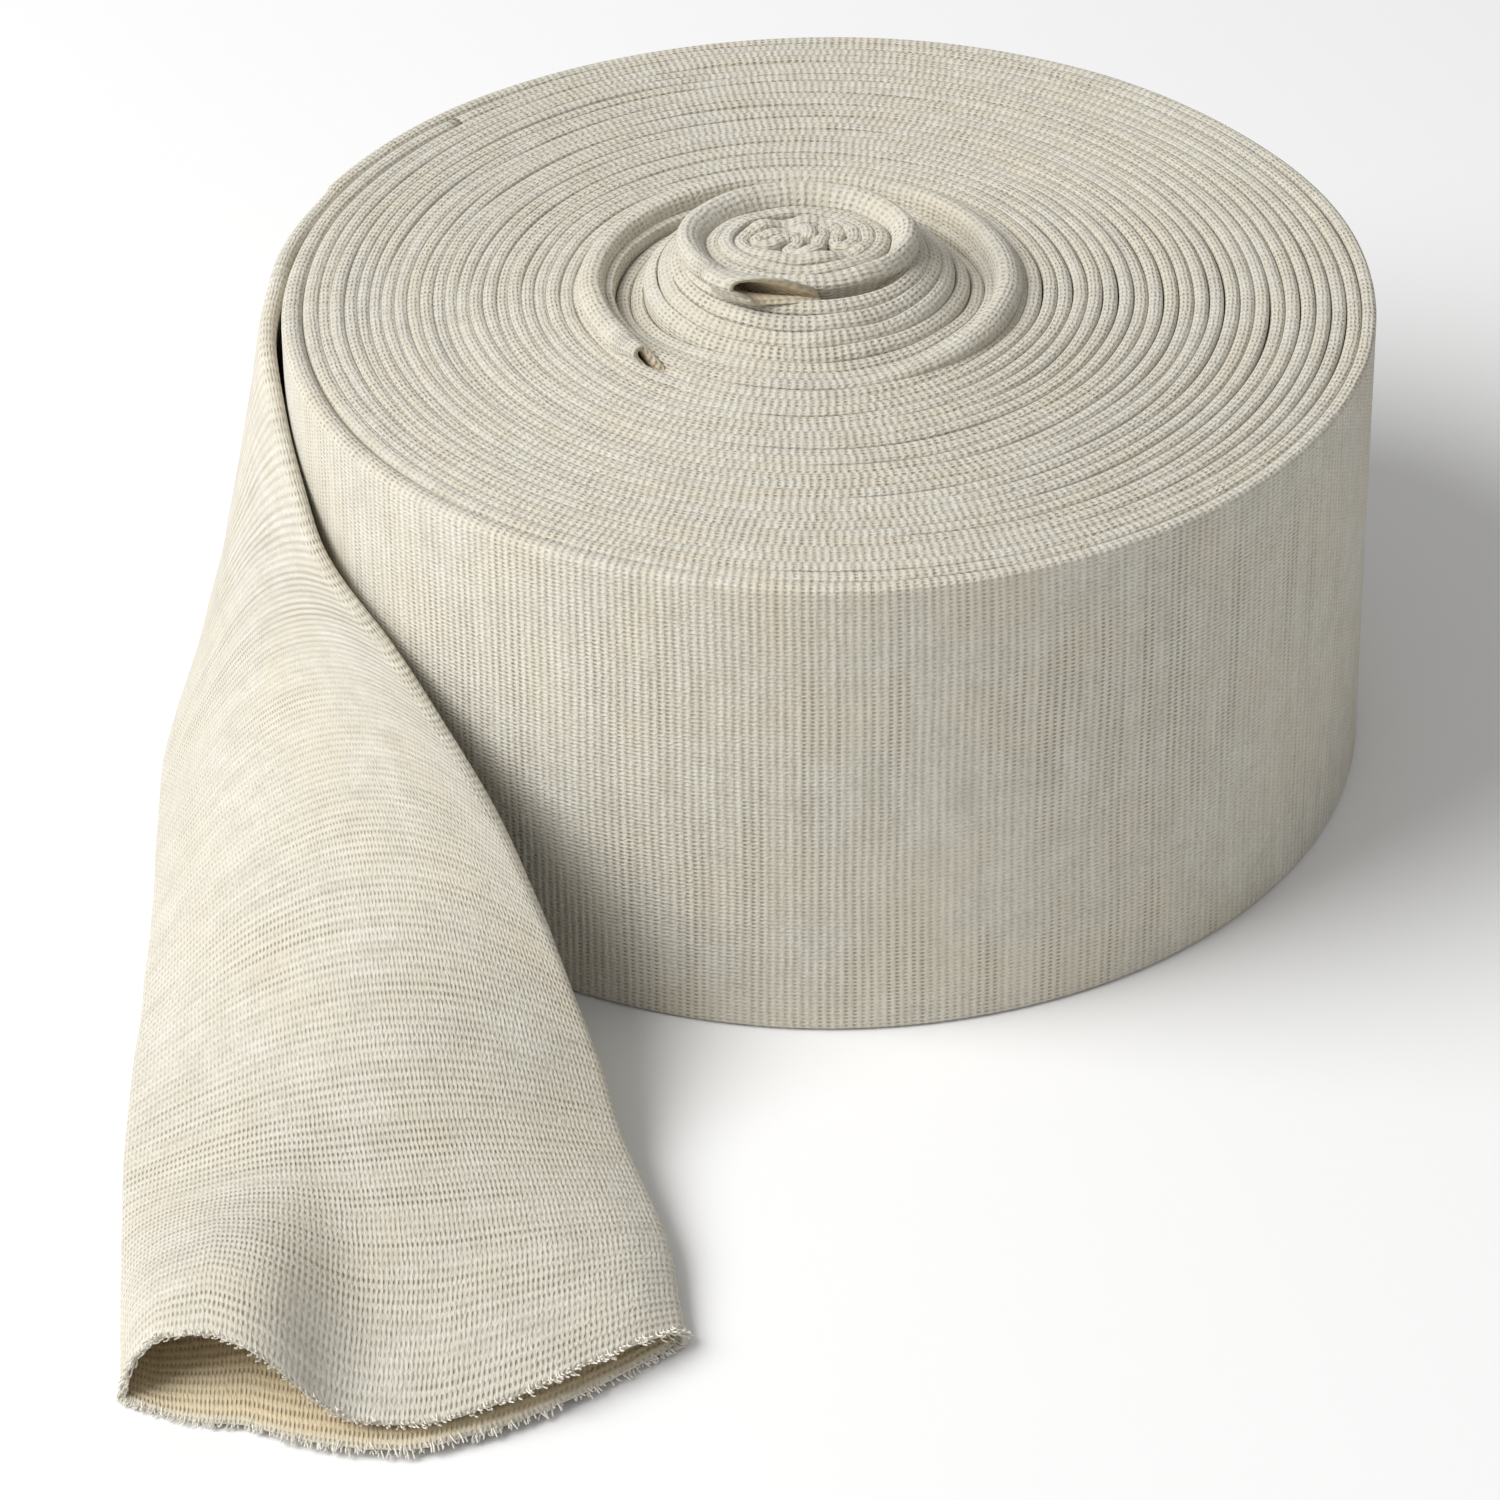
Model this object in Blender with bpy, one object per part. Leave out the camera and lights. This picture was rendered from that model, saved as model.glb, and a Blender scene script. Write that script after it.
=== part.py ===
"""Tubular bandage: a roll of flattened knitted tube with its free end pulled out.

The roll stands on one side face with its axis along Z. The origin is where that axis meets
the surface it stands on. The tape winds outwards counter-clockwise, seen from above, leaves the
roll at its left (-X) side, and twists down to lie flat at its open mouth in front (-Y).
Three lengths of tape are wound one over the other. All sizes are in metres.
"""

import math

import bmesh
import bpy
from mathutils import Vector

# Sizes of the tape and of the roll.
TAPE_WIDTH = 0.075        # flat width of the tube, which is the roll's height
PLY_WALL = 0.0010         # one ply of the loose knit
PLY_GAP = 0.0005          # between the two plies of the unwound stretch
PITCH = 0.00213           # from one turn to the next, in the pressed roll
TURN_GAP = 0.0003         # left between neighbouring turns and cut ends
ROLL_RADIUS = 0.0832      # outside of the last turn, at the roll's rim
FOOT_FLARE = 0.0020       # how much further out the roll's foot stands than its rim
MIDDLE_RADIUS = 0.0335    # up to where the first two lengths are wound
CORE_RADIUS = 0.0168      # up to where the first length is wound
HEART_RADIUS = 0.0034     # the least radius at which the first fold joins the winding

# Directions round the axis, in degrees from +X, where each length of tape ends.
CORE_END = 252.0
MIDDLE_END = 225.0
ROLL_END = 156.0

# The crown: the roll's middle is pushed up, and its upper edge is off centre there.
CROWN_RISE = 0.0100
CROWN_DRIFT = Vector((-0.0030, -0.0012))
GROOVE_DEPTH = 0.0030
CRUMPLE = 0.0004          # how far the heart's turns wander in and out
CRUMPLE_LOBES = 3

# The last turn of each of the inner two lengths stands proud as a wide, rounded fold.
CORE_FOLD_WIDTH = 0.0044
CORE_FOLD_RISE = 0.0008
CORE_FOLD_LEAN = 0.0030
MIDDLE_FOLD_WIDTH = 0.0042
MIDDLE_FOLD_RISE = 0.0016
MIDDLE_FOLD_LEAN = 0.0008

# The free end and its mouth.
TAIL_LENGTH = 0.196       # from where the tape leaves the roll to its mouth
MOUTH_RISE = 0.0090       # the upper ply's bulge at the mouth's outer side
MOUTH_DEPTH = 0.045       # how far the bulge runs back from the mouth
UPPER_PLY_CUT = 0.0030    # how far the upper ply is cut back from the lower one

WOUND_WALL = PITCH - TURN_GAP
TAIL_THICKNESS = 2 * PLY_WALL + PLY_GAP
TOP_ROUND = 0.45 * WOUND_WALL
FULL_TURN = 2 * math.pi

# Sides of each turn, up to the given share of the roll's radius.
SIDES = ((0.15, 16), (0.36, 20), (0.66, 24), (2.0, 30))

# Height of the turns' upper edges: share of MIDDLE_RADIUS, share of CROWN_RISE.
CROWN = ((0.00, 0.95), (0.30, 0.95), (0.39, 0.84), (0.51, 0.70), (0.63, 0.45), (0.75, 0.20),
         (0.90, 0.18), (1.00, 0.12), (1.50, 0.04), (1.95, 0.00))
GROOVE_AT = 0.79          # share of MIDDLE_RADIUS

# The free end, a row for each section from the roll to the mouth: its lower edge, middle and
# upper edge. Each is given by its way round the roll from where the tape leaves it and its way
# out from the roll's wall, as shares of TAIL_LENGTH, and its height, as a share of TAPE_WIDTH.
TAIL_ROWS = (
    # lower edge           middle                   upper edge
    ((0.000, 0.000, 0.00), (0.000, 0.000, 0.50), (0.000, 0.000, 1.00)),
    ((0.068, 0.026, 0.00), (0.080, 0.014, 0.50), (0.105, 0.003, 0.99)),
    ((0.137, 0.067, 0.00), (0.158, 0.038, 0.49), (0.222, 0.004, 0.92)),
    ((0.221, 0.104, 0.00), (0.252, 0.038, 0.46), (0.372, 0.007, 0.77)),
    ((0.303, 0.126, 0.00), (0.345, 0.038, 0.44), (0.496, 0.014, 0.65)),
    ((0.379, 0.162, 0.00), (0.434, 0.060, 0.42), (0.582, 0.038, 0.53)),
    ((0.443, 0.215, 0.00), (0.509, 0.100, 0.36), (0.645, 0.074, 0.38)),
    ((0.495, 0.282, 0.00), (0.572, 0.172, 0.27), (0.691, 0.117, 0.21)),
    ((0.539, 0.358, 0.00), (0.622, 0.260, 0.17), (0.726, 0.178, 0.09)),
    ((0.576, 0.437, 0.00), (0.664, 0.362, 0.09), (0.758, 0.256, 0.04)),
    ((0.608, 0.521, 0.00), (0.693, 0.512, 0.03), (0.776, 0.343, 0.02)),
)
ROW_STEPS = 2             # sections for each row of the table
TAIL_COLUMNS = 10         # strips across each ply
HOLLOW_FROM = 2           # section where the hollow inside the tape begins

# The upper ply at the mouth: place across the tape, share of MOUTH_RISE.
MOUTH_BULGE = ((0.00, 0.00), (0.06, 0.55), (0.16, 1.00), (0.28, 0.85), (0.38, 0.25), (0.45, 0.04),
               (0.60, 0.06), (0.78, 0.36), (0.92, 0.30), (1.00, 0.00))


def between(rows, place):
    """Read a table of (place, value) rows, straight between its rows."""
    if place <= rows[0][0]:
        return rows[0][1]
    for (low, first), (high, second) in zip(rows, rows[1:]):
        if place <= high:
            return first + (second - first) * (place - low) / (high - low)
    return rows[-1][1]


def eased(share):
    """A smooth step from 0 to 1."""
    share = min(max(share, 0.0), 1.0)
    return share * share * (3 - 2 * share)


# The winding. A turn's place is its angle along the spiral, whose radius grows by PITCH a turn.
LAST_ANGLE = FULL_TURN * (ROLL_RADIUS - WOUND_WALL / 2) / PITCH
PHASE = math.radians(ROLL_END) - LAST_ANGLE


def winding_radius(angle):
    return PITCH * angle / FULL_TURN


def angle_ending(radius, direction):
    """The last angle along the spiral that has this direction, with its wall inside a radius."""
    limit = FULL_TURN * (radius - WOUND_WALL / 2) / PITCH
    return limit - (limit + PHASE - math.radians(direction)) % FULL_TURN


def wall_top(radius):
    """Height of a turn's upper edge."""
    crown = CROWN_RISE * between(CROWN, radius / MIDDLE_RADIUS)
    from_groove = (radius - GROOVE_AT * MIDDLE_RADIUS) / PITCH
    groove = GROOVE_DEPTH * max(0.0, 1 - abs(from_groove))
    return TAPE_WIDTH + crown - groove


def drift(radius, height):
    """How far the winding's centre has moved, at this radius and height."""
    inwards = min(1.0, (ROLL_RADIUS - radius) / (ROLL_RADIUS - MIDDLE_RADIUS))
    return CROWN_DRIFT * max(0.0, inwards) * height / TAPE_WIDTH


def place_on_turn(angle, across, height):
    """A point of the winding: across is measured outwards from the middle of the wall."""
    radius = winding_radius(angle)
    direction = angle + PHASE
    heart = 1 - eased((radius - HEART_RADIUS) / (CORE_RADIUS - HEART_RADIUS))
    wander = CRUMPLE * heart * math.sin(CRUMPLE_LOBES * direction)
    flare = FOOT_FLARE * (1 - height / TAPE_WIDTH) * radius / ROLL_RADIUS
    reach = radius + across + wander + max(flare, 0.0)
    centre = drift(radius, height)
    return Vector((centre.x + reach * math.cos(direction), centre.y + reach * math.sin(direction), height))


def plain_section(top):
    """A turn's section as (across, height): flat at its foot and rounded at its upper edge."""
    half = WOUND_WALL / 2
    return [(-half, 0.0), (half, 0.0), (half, top - TOP_ROUND), (0.0, top), (-half, top - TOP_ROUND)]


def proud_section(top, proud, width, rise, lean):
    """A turn's section whose upper fold swells, as proud goes from 0 to 1, and lies over the next."""
    half = WOUND_WALL / 2
    swell = half + (width / 2 - half) * proud
    outer = max(half, lean + swell)
    inner = max(-half, lean - swell)
    neck = top - 1.5 * TOP_ROUND * (1 - proud) + TURN_GAP * proud
    belly = top - TOP_ROUND * (1 - proud) + (TURN_GAP + 0.45 * rise) * proud
    crest = top + (TURN_GAP + rise) * proud
    return [(-half, 0.0), (half, 0.0), (half, neck), (outer, belly), ((outer + inner) / 2, crest),
            (inner, belly), (-half, neck)]


def turn_angles(start, end):
    """The angles of a length's sections, with more sides to a turn further out."""
    angles = [start]
    while angles[-1] < end - 1e-6:
        share = winding_radius(angles[-1]) / ROLL_RADIUS
        sides = next(count for limit, count in SIDES if share < limit)
        step = FULL_TURN / sides
        slot = math.floor((angles[-1] + PHASE) / step + 1e-6) + 1
        angles.append(min(slot * step - PHASE, end))
    if angles[-1] - angles[-2] < 0.02:
        angles.pop(-2)
    return angles


def lofted(name, rings, colour, inner=None, material_roughness=0.95):
    """Join rings of points into one closed solid; inner is a second set, open at the last ring."""
    mesh = bmesh.new()

    def tube(loops, turned):
        rows = [[mesh.verts.new(point) for point in loop] for loop in loops]
        for low, high in zip(rows, rows[1:]):
            for here in range(len(low)):
                after = (here + 1) % len(low)
                corners = [low[here], low[after], high[after], high[here]]
                mesh.faces.new(corners[::-1] if turned else corners)
        mesh.faces.new(rows[0] if turned else rows[0][::-1])
        return rows[-1]

    last = tube(rings, False)
    if inner is None:
        mesh.faces.new(last)
    else:
        lining = tube(inner, True)
        for here in range(len(last)):
            after = (here + 1) % len(last)
            mesh.faces.new([last[here], last[after], lining[after], lining[here]])
    bmesh.ops.triangulate(mesh, faces=mesh.faces[:])
    if mesh.calc_volume(signed=True) < 0:
        bmesh.ops.reverse_faces(mesh, faces=mesh.faces[:])
    data = bpy.data.meshes.new(name)
    mesh.to_mesh(data)
    mesh.free()
    data.shade_smooth()
    data.set_sharp_from_angle(angle=math.radians(50))
    piece = bpy.data.objects.new(name, data)
    bpy.context.scene.collection.objects.link(piece)
    material = bpy.data.materials.new(name)
    material.use_nodes = True
    shader = material.node_tree.nodes["Principled BSDF"]
    shader.inputs["Base Color"].default_value = (*colour, 1.0)
    shader.inputs["Roughness"].default_value = material_roughness
    shader.inputs["Metallic"].default_value = 0.0
    data.materials.append(material)
    return piece


def heart_fold(join_radius):
    """Sections of the first fold: a strip across the centre, then half a turn out to the winding."""
    bend = join_radius / 2
    reach = join_radius + PITCH / 4 - WOUND_WALL / 2 - 2 * TURN_GAP
    sideways = Vector((0.0, 1.0))
    sections = [(Vector((reach, 0.0)), sideways), (Vector((0.0, 0.0)), sideways)]
    for step in (1, 2, 3):
        turn = math.pi / 2 + math.pi * step / 4
        outward = Vector((math.cos(turn), math.sin(turn)))
        sections.append((Vector((0.0, -bend)) + outward * bend, outward))
    return sections


def core_coil():
    """The short inner length: its first fold, the crumpled heart and a proud last turn."""
    join = FULL_TURN * HEART_RADIUS / PITCH
    join += (math.radians(270) - join - PHASE) % FULL_TURN
    end = angle_ending(CORE_RADIUS, CORE_END)
    plain = proud_section(wall_top(0.0), 0.0, WOUND_WALL, 0.0, 0.0)
    rings = []
    for centre, outward in heart_fold(winding_radius(join)):
        rings.append([Vector((*(drift(0.0, height) + centre + outward * across), height))
                      for across, height in plain])
    for angle in turn_angles(join, end):
        proud = eased((angle - end + FULL_TURN) / (0.35 * FULL_TURN))
        lean = CORE_FOLD_LEAN * eased((angle - end + 0.55 * FULL_TURN) / (0.55 * FULL_TURN))
        section = proud_section(wall_top(winding_radius(angle)), proud, CORE_FOLD_WIDTH, CORE_FOLD_RISE, lean)
        rings.append([place_on_turn(angle, across, height) for across, height in section])
    return lofted("core_coil", rings, (0.72, 0.66, 0.53))


def middle_coil():
    """The second length, with a proud last turn."""
    core_end = angle_ending(CORE_RADIUS, CORE_END)
    start = core_end + TURN_GAP / winding_radius(core_end)
    end = angle_ending(MIDDLE_RADIUS, MIDDLE_END)
    rings = []
    for angle in turn_angles(start, end):
        proud = eased((angle - end + 0.88 * FULL_TURN) / (0.2 * FULL_TURN))
        section = proud_section(wall_top(winding_radius(angle)), proud, MIDDLE_FOLD_WIDTH,
                                MIDDLE_FOLD_RISE, MIDDLE_FOLD_LEAN * proud)
        rings.append([place_on_turn(angle, across, height) for across, height in section])
    return lofted("middle_coil", rings, (0.70, 0.64, 0.51))


def outer_coil():
    """The wound turns of the main length."""
    middle_end = angle_ending(MIDDLE_RADIUS, MIDDLE_END)
    start = middle_end + TURN_GAP / winding_radius(middle_end)
    rings = []
    for angle in turn_angles(start, LAST_ANGLE):
        section = plain_section(wall_top(winding_radius(angle)))
        rings.append([place_on_turn(angle, across, height) for across, height in section])
    return lofted("outer_coil", rings, (0.68, 0.63, 0.50))


def tail_place(row_place):
    """A table place as a point: round the roll, out from its wall, and up."""
    around, out, height = row_place
    wall = ROLL_RADIUS - WOUND_WALL / 2
    direction = math.radians(ROLL_END) + (TURN_GAP + TAIL_LENGTH * around) / wall
    flare = FOOT_FLARE * (1 - height) * (1 - eased(out / 0.1))
    reach = wall + TAIL_LENGTH * out + flare
    return Vector((reach * math.cos(direction), reach * math.sin(direction), TAPE_WIDTH * height))


def smooth_between(points, place):
    """A point on the smooth curve through a list of points, one apart."""
    here = min(int(place), len(points) - 2)
    share = place - here
    first, second = points[here], points[here + 1]
    before = points[here - 1] if here > 0 else 2 * first - second
    after = points[here + 2] if here + 2 < len(points) else 2 * second - first
    leaving = (second - before) / 2
    arriving = (after - first) / 2
    return (first * (2 * share ** 3 - 3 * share ** 2 + 1) + leaving * (share ** 3 - 2 * share ** 2 + share)
            + second * (3 * share ** 2 - 2 * share ** 3) + arriving * (share ** 3 - share ** 2))


def tail_middle(place, across):
    """The surface between the plies: place counts table rows, across runs from lower to upper edge."""
    lower, middle, upper = (smooth_between(line, place) for line in TAIL_LINES)
    return (lower * (1 - across) * (1 - 2 * across) + middle * 4 * across * (1 - across)
            + upper * across * (2 * across - 1))


TAIL_LINES = [[tail_place(row[edge]) for row in TAIL_ROWS] for edge in range(3)]


def tail_frame(place, across):
    """A point between the plies, the way outwards through the upper ply, and the way along."""
    step = 0.02
    last = len(TAIL_ROWS) - 1
    along = tail_middle(min(place + step, last), across) - tail_middle(max(place - step, 0), across)
    over = tail_middle(place, min(across + step, 1)) - tail_middle(place, max(across - step, 0))
    return tail_middle(place, across), along.cross(over).normalized(), along.normalized()


def tail_ring(place, outside):
    """One section of the free end: up its outer ply and back down its inner one."""
    last = len(TAIL_ROWS) - 1
    loosened = eased(place / 2)
    thickness = WOUND_WALL + (TAIL_THICKNESS - WOUND_WALL) * loosened
    wall = PLY_WALL
    half = thickness / 2 if outside else thickness / 2 - wall
    row_length = TAIL_LENGTH / last
    from_mouth = (last - place) * row_length
    opening = eased(1 - from_mouth / MOUTH_DEPTH)
    cut_back = UPPER_PLY_CUT * eased(1 - from_mouth / (0.6 * MOUTH_DEPTH))
    inset = 0.0 if outside else wall
    margin = inset / TAPE_WIDTH
    ring = []
    for column in range(TAIL_COLUMNS + 1):
        across = margin + (1 - 2 * margin) * column / TAIL_COLUMNS
        centre, outwards, along = tail_frame(place, across)
        if column in (0, TAIL_COLUMNS):
            ring.append(centre)
            continue
        bulge = MOUTH_RISE * opening * between(MOUTH_BULGE, across)
        ring.append(centre + outwards * (half + bulge) - along * cut_back * math.sin(math.pi * across))
    for column in range(TAIL_COLUMNS - 1, 0, -1):
        across = margin + (1 - 2 * margin) * column / TAIL_COLUMNS
        centre, outwards, along = tail_frame(place, across)
        ring.append(centre - outwards * half)
    floor = 0.0 if outside else wall
    for point in ring:
        point.z = max(point.z, floor)
    return ring


def free_tail():
    """The unwound stretch of the main length: a hollow flattened tube, open at its mouth."""
    sections = [index / ROW_STEPS for index in range(ROW_STEPS * (len(TAIL_ROWS) - 1) + 1)]
    rings = [tail_ring(place, True) for place in sections]
    lining = [tail_ring(place, False) for place in sections[HOLLOW_FROM:]]
    return lofted("free_tail", rings, (0.78, 0.72, 0.58), inner=lining)


for old in list(bpy.context.scene.objects):
    bpy.data.objects.remove(old, do_unlink=True)

core_coil()
middle_coil()
outer_coil()
free_tail()
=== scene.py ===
"""The looks of a tubular bandage: a roll of cream knitted tube with its free end pulled out.

The tube is knitted, pressed flat and wound on itself. Everything is in metres, +Z up, with the
roll's axis along Z and the mouth of the free end in front, towards -Y.
"""

import math
import random

import bmesh
import bpy
from mathutils import Matrix, Vector, noise


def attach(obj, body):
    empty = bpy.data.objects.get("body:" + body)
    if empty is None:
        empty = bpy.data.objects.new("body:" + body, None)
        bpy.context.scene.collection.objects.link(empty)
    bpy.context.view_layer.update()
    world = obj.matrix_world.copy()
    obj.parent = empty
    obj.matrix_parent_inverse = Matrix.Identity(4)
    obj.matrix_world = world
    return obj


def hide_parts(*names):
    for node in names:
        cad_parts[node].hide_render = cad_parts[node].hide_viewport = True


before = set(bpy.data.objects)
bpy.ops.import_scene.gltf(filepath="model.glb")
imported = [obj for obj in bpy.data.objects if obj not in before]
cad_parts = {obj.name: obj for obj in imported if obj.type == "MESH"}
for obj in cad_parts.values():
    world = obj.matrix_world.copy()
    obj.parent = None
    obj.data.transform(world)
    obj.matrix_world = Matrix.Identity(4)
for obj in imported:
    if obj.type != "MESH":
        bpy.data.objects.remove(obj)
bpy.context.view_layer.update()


# The camera stands in front of the roll and looks down on it. It is placed by where the middle
# of the roll falls in the picture, which is taken to be 1500 pixels wide and high.
PICTURE_PIXELS = 1500
SENSOR_WIDTH = 36.0
FOCAL_PIXELS = 4530.7
ROLL_MIDDLE_PIXEL = Vector((823.4, 498.7))
ROLL_MIDDLE = Vector((0.0, 0.0, 0.0375))
CAMERA_DISTANCE = 0.700
CAMERA_ELEVATION = math.radians(35.53)
CAMERA_ROLL = math.radians(-0.60)


def photo_camera():
    forward = Vector((0.0, math.cos(CAMERA_ELEVATION), -math.sin(CAMERA_ELEVATION)))
    level = Vector((1.0, 0.0, 0.0))
    raised = level.cross(forward)
    right = level * math.cos(CAMERA_ROLL) + raised * math.sin(CAMERA_ROLL)
    up = raised * math.cos(CAMERA_ROLL) - level * math.sin(CAMERA_ROLL)
    offset = (ROLL_MIDDLE_PIXEL - Vector((PICTURE_PIXELS / 2, PICTURE_PIXELS / 2))) / FOCAL_PIXELS
    place = ROLL_MIDDLE - (right * offset.x - up * offset.y + forward) * CAMERA_DISTANCE
    lens = bpy.data.cameras.new("camera")
    lens.sensor_width = SENSOR_WIDTH
    lens.lens = SENSOR_WIDTH * FOCAL_PIXELS / PICTURE_PIXELS
    lens.clip_start = 0.01
    lens.clip_end = 50.0
    camera = bpy.data.objects.new("camera", lens)
    turn = Matrix((right, up, -forward)).transposed().to_4x4()
    camera.matrix_world = Matrix.Translation(place) @ turn
    bpy.context.scene.collection.objects.link(camera)
    bpy.context.scene.camera = camera


photo_camera()


# The floor is a plain sheet of pale studio paper.
FLOOR_SIZE = 6.0
FLOOR_DROP = 0.0002


def paper_floor():
    sheet = bmesh.new()
    bmesh.ops.create_grid(sheet, x_segments=1, y_segments=1, size=FLOOR_SIZE / 2,
                          matrix=Matrix.Translation((0.0, 0.0, -FLOOR_DROP)))
    data = bpy.data.meshes.new("floor")
    sheet.to_mesh(data)
    sheet.free()
    floor = bpy.data.objects.new("floor", data)
    bpy.context.scene.collection.objects.link(floor)
    paper = bpy.data.materials.new("studio paper")
    paper.use_nodes = True
    shader = paper.node_tree.nodes["Principled BSDF"]
    shader.inputs["Roughness"].default_value = 0.9
    shader.inputs["Base Color"].default_value = (0.96, 0.96, 0.96, 1.0)
    data.materials.append(paper)


paper_floor()


# Soft studio light: one very large lamp high on the left, and an even pale surround.
def soft_lamp(name, place, size, watts):
    light = bpy.data.lights.new(name, "AREA")
    light.shape = "DISK"
    light.size = size
    light.energy = watts
    lamp = bpy.data.objects.new(name, light)
    lamp.location = place
    lamp.rotation_euler = (ROLL_MIDDLE - Vector(place)).to_track_quat("-Z", "Y").to_euler()
    bpy.context.scene.collection.objects.link(lamp)


def pale_surround(brightness):
    surround = bpy.data.worlds.new("pale surround")
    surround.use_nodes = True
    sky = surround.node_tree.nodes["Background"]
    sky.inputs["Color"].default_value = (1.0, 1.0, 1.0, 1.0)
    sky.inputs["Strength"].default_value = brightness
    bpy.context.scene.world = surround


soft_lamp("key_light", (-1.40, -0.40, 1.35), 1.5, 42.0)
pale_surround(0.37)
bpy.context.scene.view_settings.view_transform = "Standard"


# The tube's knit: rows of stitches called courses run across the tape and columns called wales
# run along it. Small holes between the stitches are painted darker as the shade inside them, more
# in some rows than in others.
COURSE = 0.00117          # from one row of stitches to the next, along the tape
WALE = 0.00065          # from one column of stitches to the next, across it
STITCH_DEPTH = 0.00034
CREAM = (0.73, 0.697, 0.605)
SHADED_CREAM = (0.585, 0.548, 0.452)
WARM_CREAM = (0.71, 0.635, 0.490)
PAINTED_HOLE_SHADE = (0.285, 0.230, 0.135)
# Painted shade and warm bounced light for the inside of the tube's hollow.
PAINTED_INSIDE_SHADE = (0.70, 0.565, 0.34)


def number(tree, operation, *values):
    """A Math node whose values are numbers or other nodes' sockets."""
    made = tree.nodes.new("ShaderNodeMath")
    made.operation = operation
    for socket, value in zip(made.inputs, values):
        if isinstance(value, (int, float)):
            socket.default_value = value
        else:
            tree.links.new(value, socket)
    return made.outputs[0]


def stretched(tree, place, scale):
    """A place whose three numbers are multiplied by those of scale."""
    made = tree.nodes.new("ShaderNodeVectorMath")
    made.operation = "MULTIPLY"
    tree.links.new(place, made.inputs[0])
    made.inputs[1].default_value = scale
    return made.outputs[0]


def cloud(tree, place, scale, detail):
    """Smooth noise from 0 to 1; scale counts its blotches in a metre."""
    made = tree.nodes.new("ShaderNodeTexNoise")
    tree.links.new(place, made.inputs["Vector"])
    made.inputs["Scale"].default_value = scale
    made.inputs["Detail"].default_value = detail
    return made.outputs[0]


def ramp(tree, value, low, high):
    """0 where value is low, 1 where it is high, smooth between."""
    made = tree.nodes.new("ShaderNodeMapRange")
    made.interpolation_type = "SMOOTHSTEP"
    tree.links.new(value, made.inputs["Value"])
    made.inputs["From Min"].default_value = low
    made.inputs["From Max"].default_value = high
    return made.outputs[0]


def blended(tree, factor, first, second, way="MIX"):
    """Two colours, each a tuple or a socket, blended by a factor."""
    made = tree.nodes.new("ShaderNodeMix")
    made.data_type = "RGBA"
    made.blend_type = way
    if isinstance(factor, float):
        made.inputs[0].default_value = factor
    else:
        tree.links.new(factor, made.inputs[0])
    for socket, colour in ((made.inputs[6], first), (made.inputs[7], second)):
        if isinstance(colour, tuple):
            socket.default_value = (*colour, 1.0)
        else:
            tree.links.new(colour, socket)
    return made.outputs[2]


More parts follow.
